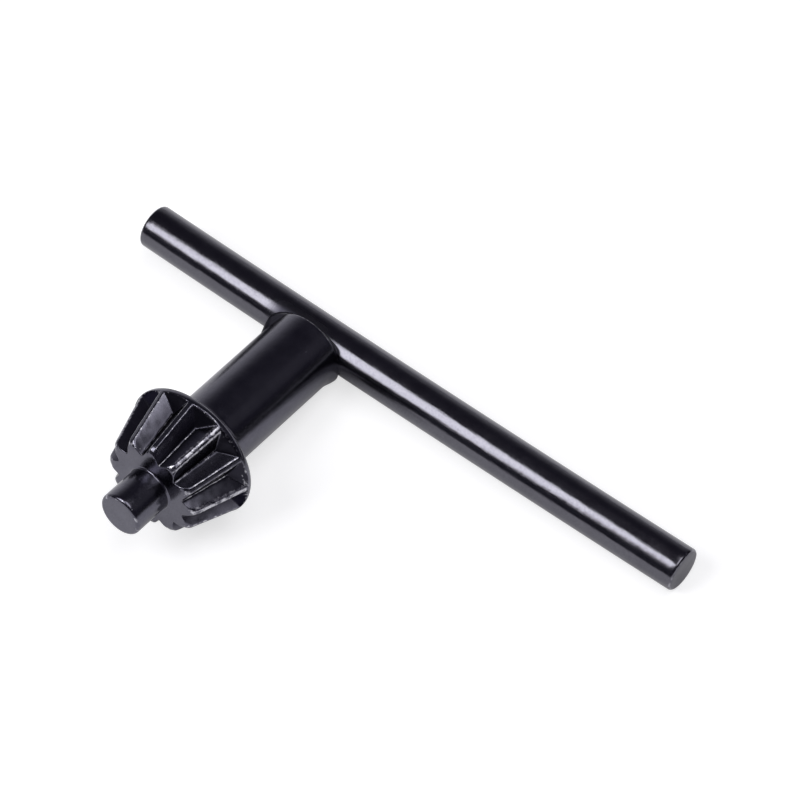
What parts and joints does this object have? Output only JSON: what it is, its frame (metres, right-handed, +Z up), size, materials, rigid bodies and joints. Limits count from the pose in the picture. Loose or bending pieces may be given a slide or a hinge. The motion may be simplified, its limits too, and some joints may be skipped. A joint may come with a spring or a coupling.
{
  "type": "drill chuck key",
  "caption": "Steel key with a round pilot, a straight bevel pinion and a crossbar handle, for tightening and loosening a key-type drill chuck.",
  "frame": {"origin": "on the surface that the key lies on, under the centre of its bounding box", "axes": "+Z up from that surface, +X along the floor below the crossbar, towards the end of the long arm, +Y from the pilot towards the crossbar"},
  "size_m": [0.0844, 0.042, 0.0182],
  "materials": {
    "black_oxide_forging": "black oxide over machined and forged steel, oiled satin",
    "black_oxide_bar": "black oxide over drawn round bar, oiled satin"
  },
  "bodies": {
    "root": {"pinion_shank": "black_oxide_forging", "crossbar": "black_oxide_bar"}
  },
  "joints": []
}
